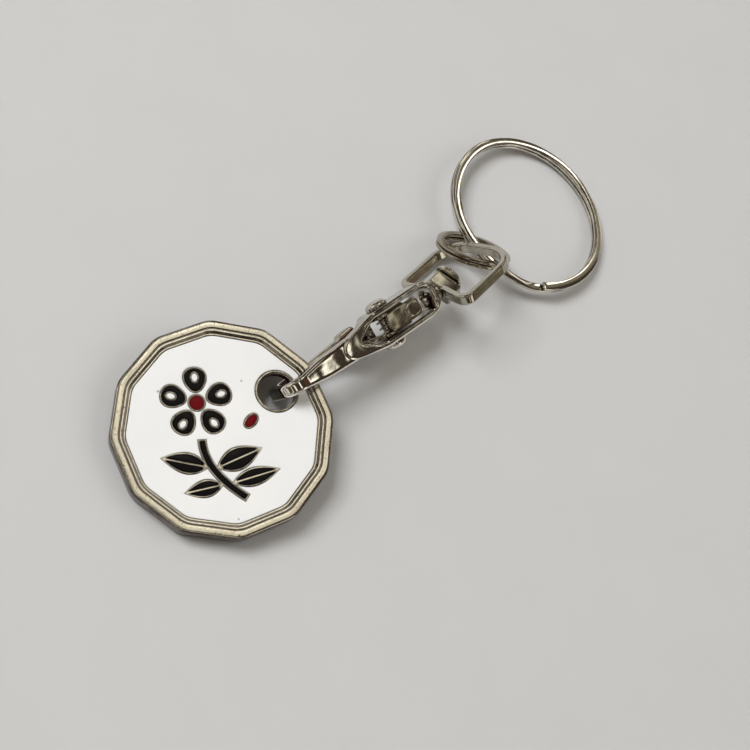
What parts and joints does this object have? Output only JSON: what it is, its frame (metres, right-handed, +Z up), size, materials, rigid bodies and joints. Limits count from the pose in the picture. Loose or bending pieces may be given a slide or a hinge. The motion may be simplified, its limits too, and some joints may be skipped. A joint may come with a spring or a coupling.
{
  "type": "trolley coin keyring",
  "caption": "Twelve-sided enamelled shopping-trolley token hung by its hole in a sprung trigger clip, whose swivel bail carries a small and a large split ring for keys.",
  "frame": {"origin": "middle of the bounding box's bottom, on the surface the keyring lies on", "axes": "+X along the chain from the token to the large ring, +Z up off the surface, +Y to the left of the chain seen from above with +X ahead"},
  "size_m": [0.073, 0.0234, 0.0089],
  "materials": {
    "token_metal": "polished nickel plate",
    "white_enamel": "glossy soft enamel",
    "black_enamel": "glossy soft enamel",
    "red_enamel": "glossy soft enamel",
    "clip_metal": "polished nickel plate",
    "bail_metal": "polished nickel plate",
    "gate_metal": "nickel plate",
    "spring_wire": "bright wire",
    "ring_steel": "nickel-plated spring steel"
  },
  "bodies": {
    "clip": {"hook_body": "clip_metal", "gate_rivet": "clip_metal", "gate_spring": "spring_wire", "swivel_rivet": "clip_metal", "swivel_collar": "clip_metal"},
    "gate": {"gate_lever": "gate_metal"},
    "token": {"coin_body": "token_metal", "enamel_bud": "red_enamel", "enamel_field": "white_enamel", "enamel_flower_disc": "red_enamel", "enamel_leaf_1_left": "black_enamel", "enamel_leaf_1_right": "black_enamel", "enamel_leaf_2_left": "black_enamel", "enamel_leaf_2_right": "black_enamel", "enamel_leaf_3_left": "black_enamel", "enamel_leaf_3_right": "black_enamel", "enamel_leaf_4_left": "black_enamel", "enamel_leaf_4_right": "black_enamel", "enamel_petal_1": "black_enamel", "enamel_petal_2": "black_enamel", "enamel_petal_3": "black_enamel", "enamel_petal_4": "black_enamel", "enamel_petal_5": "black_enamel", "enamel_spot_1": "white_enamel", "enamel_spot_2": "white_enamel", "enamel_spot_3": "white_enamel", "enamel_spot_4": "white_enamel", "enamel_spot_5": "white_enamel", "enamel_stem": "black_enamel"},
    "bail": {"bail": "bail_metal"},
    "small_ring": {"small_split_ring": "ring_steel"},
    "large_ring": {"large_split_ring": "ring_steel"}
  },
  "joints": [
    {"name": "gate_hinge", "type": "hinge", "parent": "clip", "child": "gate", "pos_m": [-0.0027, -0.00122, 0.00465], "axis": [0.0223, 0.961, 0.2755], "range_deg": [0, 18], "stiffness_Nm_per_rad": 0.02, "springref_deg": -22.92, "deforming": ["gate_spring"]},
    {"name": "token_swing", "type": "hinge", "parent": "clip", "child": "token", "pos_m": [-0.01778, -0.00015, 0.003], "axis": [-0.1045, 0, 0.9945], "range_deg": [-28, 28]},
    {"name": "bail_swivel", "type": "hinge", "parent": "clip", "child": "bail", "pos_m": [0.00409, -0.00158, 0.00444], "axis": [0.9951, 0.0993, 0], "continuous": true},
    {"name": "small_ring_swing", "type": "hinge", "parent": "bail", "child": "small_ring", "pos_m": [0.01439, -0.00061, 0.00439], "axis": [-0.0644, 0.6453, -0.7612], "range_deg": [-15, 60]},
    {"name": "large_ring_swing", "type": "hinge", "parent": "small_ring", "child": "large_ring", "pos_m": [0.01589, 0.00257, 0.00237], "axis": [-0.2569, -0.9664, 0.0049], "range_deg": [-90, 5]}
  ]
}
